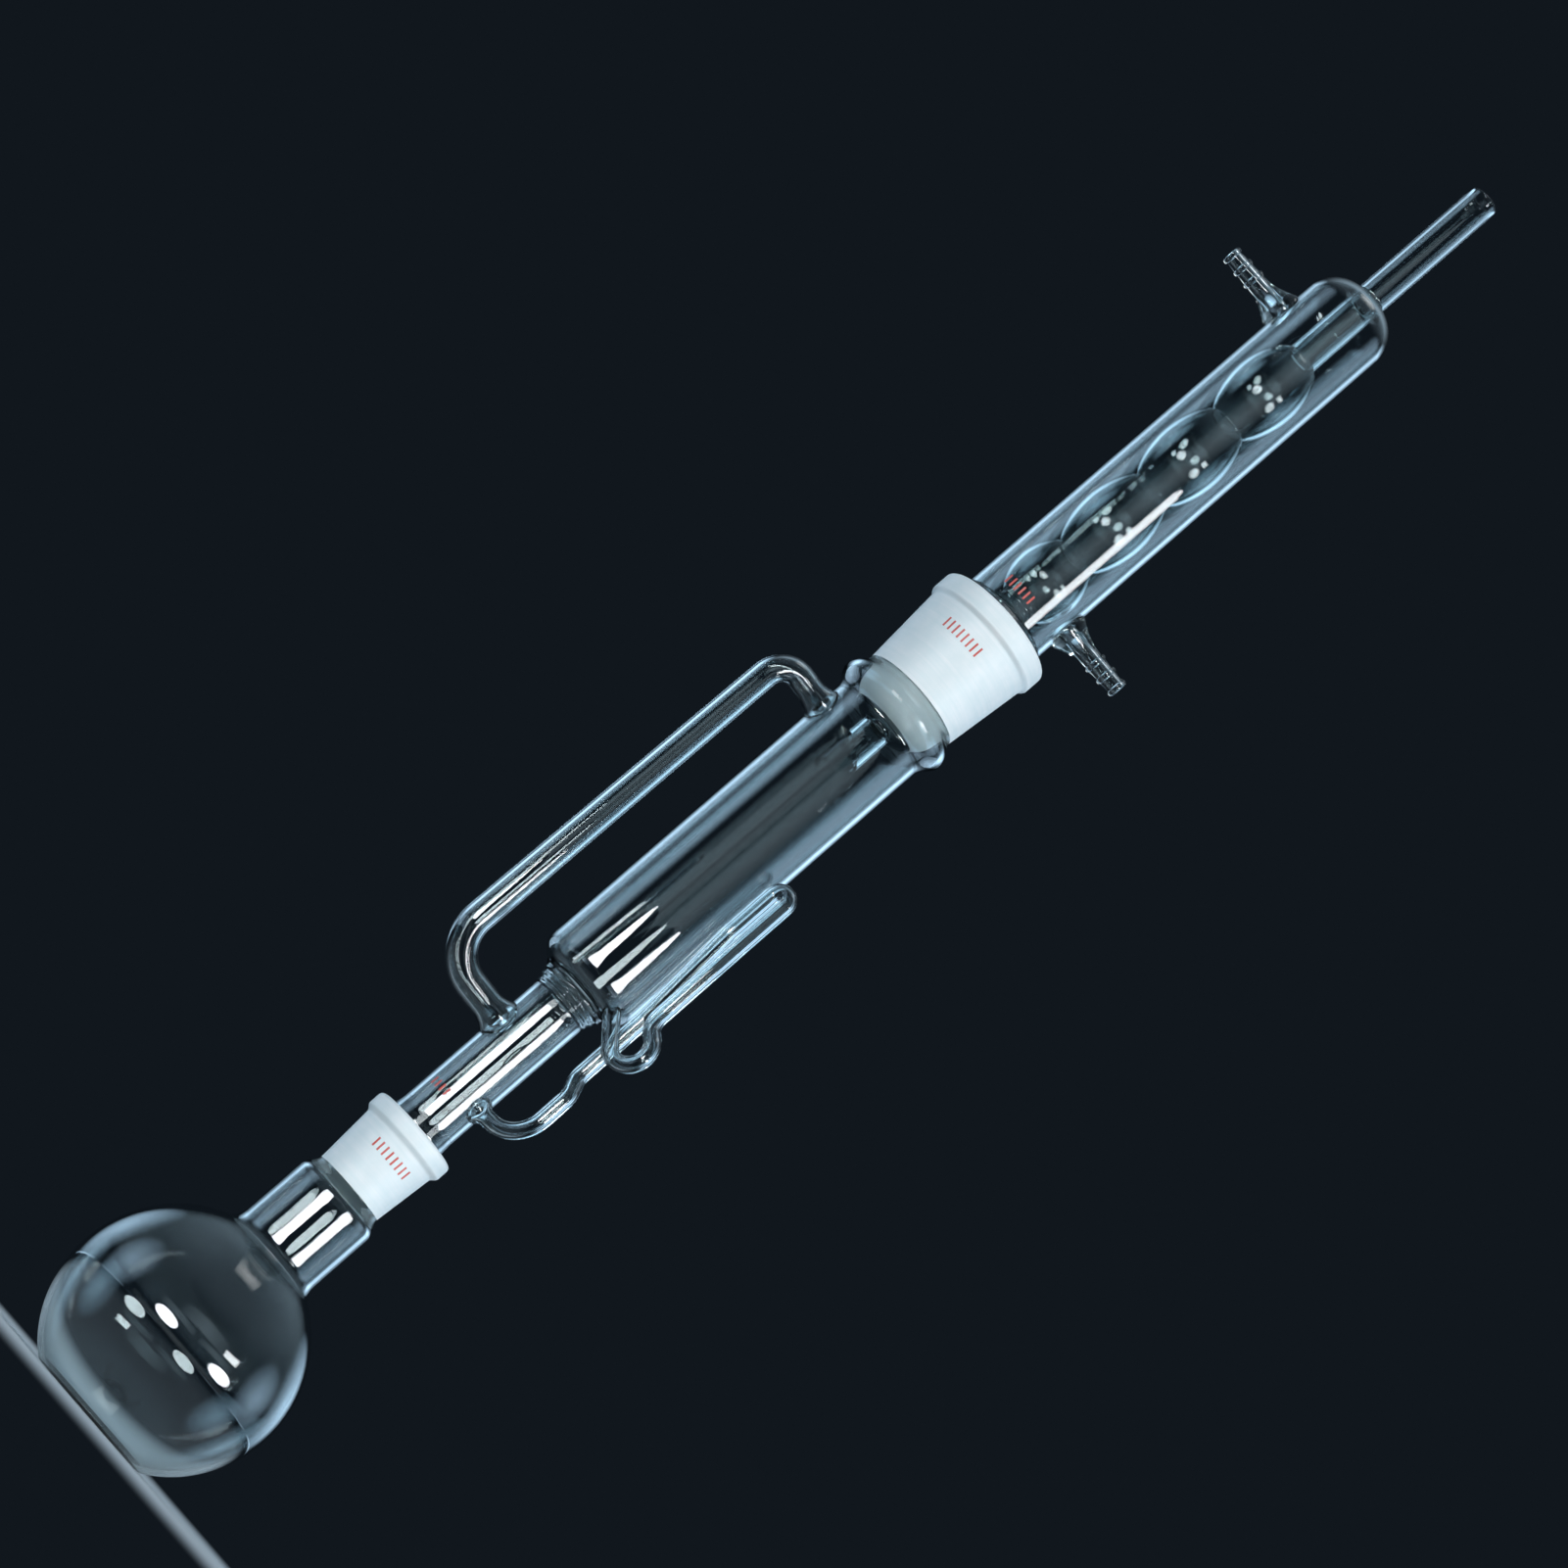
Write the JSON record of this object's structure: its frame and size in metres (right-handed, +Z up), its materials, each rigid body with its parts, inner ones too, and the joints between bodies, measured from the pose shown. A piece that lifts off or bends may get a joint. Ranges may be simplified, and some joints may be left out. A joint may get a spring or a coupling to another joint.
{
  "type": "soxhlet extractor",
  "caption": "Glass extraction apparatus: flat-bottom flask, siphon extractor with vapour sidearm, and bulb condenser, stacked in ground taper joints that lift apart.",
  "frame": {"origin": "centre of the flask's flat base", "axes": "+Z up along the glass axis, +X towards the lower hose connector and the siphon, -Y towards the picture's viewer"},
  "size_m": [0.0891, 0.088, 0.6412],
  "materials": {
    "clear_glass": "clear fire-polished borosilicate glass",
    "ground_glass": "fine-ground matt borosilicate glass"
  },
  "bodies": {
    "flask": {"flask_bulb": "clear_glass", "flask_socket": "ground_glass"},
    "extractor": {"extractor_cone": "ground_glass", "vapour_tube": "clear_glass", "extraction_chamber": "clear_glass", "chamber_collar": "clear_glass", "extractor_socket": "ground_glass", "vapour_sidearm": "clear_glass", "siphon_tube": "clear_glass"},
    "condenser": {"condenser_cone": "ground_glass", "drip_tip": "clear_glass", "condenser_jacket": "clear_glass", "bulb_tube": "clear_glass", "water_inlet": "clear_glass", "water_outlet": "clear_glass", "vent_tube": "clear_glass"}
  },
  "joints": [
    {"name": "extractor_lift", "type": "slide", "parent": "flask", "child": "extractor", "axis": [0, 0, 1], "range_m": [0, 0.04]},
    {"name": "condenser_lift", "type": "slide", "parent": "extractor", "child": "condenser", "axis": [0, 0, 1], "range_m": [0, 0.08]}
  ]
}
